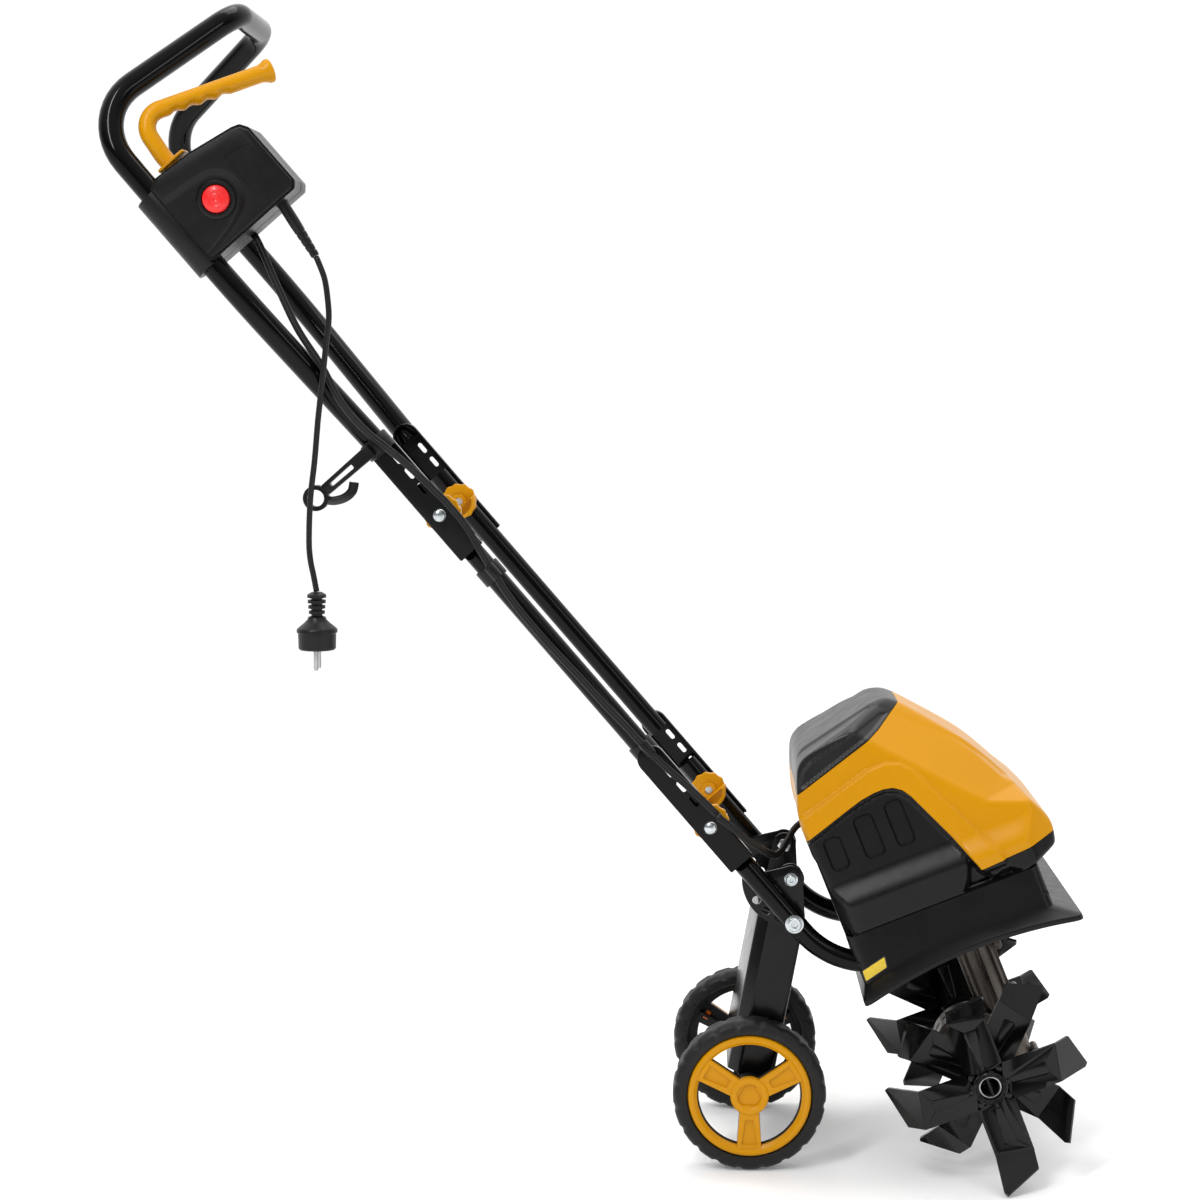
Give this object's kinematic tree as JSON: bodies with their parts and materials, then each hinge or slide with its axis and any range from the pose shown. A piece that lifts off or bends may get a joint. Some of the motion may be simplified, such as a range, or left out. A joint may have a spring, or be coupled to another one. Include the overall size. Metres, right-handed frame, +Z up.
{
  "type": "electric garden tiller",
  "caption": "Walk-behind electric garden tiller: folding tube handle with switch box, tilted motor under a two-part cover, worm gear, bladed tines and wheels on a swinging arm.",
  "frame": {"origin": "on the ground, under the middle of the machine's bounding box", "axes": "+Z up, +X forward over the tines, -Y the machine's right-hand side, where the switch box is"},
  "size_m": [0.9976, 0.3938, 1.2053],
  "materials": {
    "gloss_black": "gloss black enamel on steel tube",
    "black_plastic": "fine-grained black moulding",
    "satin_black": "satin black paint",
    "yellow_plastic": "smooth warm yellow moulding",
    "red_plastic": "smooth red moulding",
    "tine_steel": "dark satin coating on sheet steel",
    "cast_metal": "as cast, slightly rough",
    "zinc": "bright zinc plate",
    "steel": "machined steel",
    "copper": "bronze and wound copper",
    "rubber": "black flexible sheath"
  },
  "bodies": {
    "frame": {"frame_tube_right": "gloss_black", "frame_tube_left": "gloss_black", "sector_plate_right": "satin_black", "sector_plate_left": "satin_black", "lock_bolt_right": "zinc", "lock_bolt_left": "zinc", "arm_pivot_bolt_right": "zinc", "arm_pivot_bolt_left": "zinc", "motor_housing": "black_plastic", "hood_cover": "yellow_plastic", "hood_cap": "black_plastic", "tine_guard": "black_plastic", "gear_case_right": "cast_metal", "gear_case_left": "cast_metal", "motor_stator": "steel", "motor_end_bell": "cast_metal", "motor_bearing": "steel", "tine_bearing_right": "steel", "tine_bearing_left": "steel", "motor_cable_lower": "rubber"},
    "motor_rotor": {"motor_armature": "copper", "worm_shaft": "steel", "cooling_fan": "black_plastic"},
    "tine_rotor": {"worm_wheel": "copper", "tine_shaft": "steel", "outer_tine_right": "tine_steel", "inner_tine_right": "tine_steel", "inner_tine_left": "tine_steel", "outer_tine_left": "tine_steel", "tine_pin_right": "zinc", "tine_pin_left": "zinc"},
    "wheel_swing": {"wheel_arm": "satin_black", "wheel_axle": "steel"},
    "road_wheel_right": {"wheel_right": "black_plastic", "wheel_cover_right": "yellow_plastic"},
    "road_wheel_left": {"wheel_left": "black_plastic", "wheel_cover_left": "yellow_plastic"},
    "middle_section": {"mid_tube_right": "gloss_black", "mid_tube_left": "gloss_black", "lower_fold_bolt_right": "zinc", "lower_fold_bolt_left": "zinc", "motor_cable_middle": "rubber"},
    "handle": {"handle_tube": "gloss_black", "upper_fold_bolt_right": "zinc", "upper_fold_bolt_left": "zinc", "switch_box_front": "black_plastic", "switch_box_rear": "black_plastic", "tube_clamp": "black_plastic", "switch_block": "black_plastic", "strain_relief": "rubber", "mains_cord": "rubber", "mains_plug": "rubber", "motor_cable_upper": "rubber", "cord_hook": "black_plastic"},
    "lever": {"switch_lever": "yellow_plastic"},
    "button": {"safety_button": "red_plastic"},
    "upper_knob_right": {"upper_clamp_knob_right": "yellow_plastic"},
    "upper_knob_left": {"upper_clamp_knob_left": "yellow_plastic"},
    "lower_knob_right": {"lower_clamp_knob_right": "yellow_plastic"},
    "lower_knob_left": {"lower_clamp_knob_left": "yellow_plastic"}
  },
  "joints": [
    {"name": "lower_fold", "type": "hinge", "parent": "frame", "child": "middle_section", "pos_m": [0.10905, 0.0056, 0.36468], "axis": [0, 1, 0], "range_deg": [0, 70], "deforming": ["motor_cable_lower", "motor_cable_middle"]},
    {"name": "upper_fold", "type": "hinge", "parent": "middle_section", "child": "handle", "pos_m": [-0.16801, 0.0056, 0.68565], "axis": [0, -1, 0], "range_deg": [0, 150], "deforming": ["motor_cable_upper"]},
    {"name": "wheel_arm_swing", "type": "hinge", "parent": "frame", "child": "wheel_swing", "pos_m": [0.19295, 0.0056, 0.306], "axis": [0, 1, 0], "range_deg": [0, 61.5]},
    {"name": "wheel_spin_right", "type": "hinge", "parent": "wheel_swing", "child": "road_wheel_right", "pos_m": [0.15095, -0.0974, 0.08], "axis": [0, 1, 0], "continuous": true},
    {"name": "wheel_spin_left", "type": "hinge", "parent": "wheel_swing", "child": "road_wheel_left", "pos_m": [0.15095, 0.1086, 0.08], "axis": [0, 1, 0], "continuous": true},
    {"name": "tine_spin", "type": "hinge", "parent": "frame", "child": "tine_rotor", "pos_m": [0.39495, 0.0056, 0.105], "axis": [0, 1, 0], "continuous": true},
    {"name": "motor_spin", "type": "hinge", "parent": "frame", "child": "motor_rotor", "pos_m": [0.43204, 0.0056, 0.11998], "axis": [-0.3746, 0, 0.9272], "continuous": true},
    {"name": "lower_knob_turn_right", "type": "hinge", "parent": "middle_section", "child": "lower_knob_right", "pos_m": [0.10905, -0.0824, 0.36468], "axis": [0, 1, 0], "continuous": true},
    {"name": "lower_knob_turn_left", "type": "hinge", "parent": "middle_section", "child": "lower_knob_left", "pos_m": [0.10905, 0.0936, 0.36468], "axis": [0, 1, 0], "continuous": true},
    {"name": "upper_knob_turn_right", "type": "hinge", "parent": "handle", "child": "upper_knob_right", "pos_m": [-0.16801, -0.0824, 0.68565], "axis": [0, 1, 0], "continuous": true},
    {"name": "upper_knob_turn_left", "type": "hinge", "parent": "handle", "child": "upper_knob_left", "pos_m": [-0.16801, 0.0936, 0.68565], "axis": [0, 1, 0], "continuous": true},
    {"name": "lever_pull", "type": "hinge", "parent": "handle", "child": "lever", "pos_m": [-0.41082, -0.1584, 1.01899], "axis": [0, -1, 0], "range_deg": [0, 12], "stiffness_Nm_per_rad": 1.2, "springref_deg": -14.32},
    {"name": "button_press", "type": "slide", "parent": "handle", "child": "button", "axis": [0, 1, 0], "range_m": [0, 0.004], "stiffness_N_per_m": 400, "springref_m": -0.002}
  ],
  "couplings": [
    {"joint": "motor_spin", "follows": "tine_spin", "ratio": 15}
  ]
}
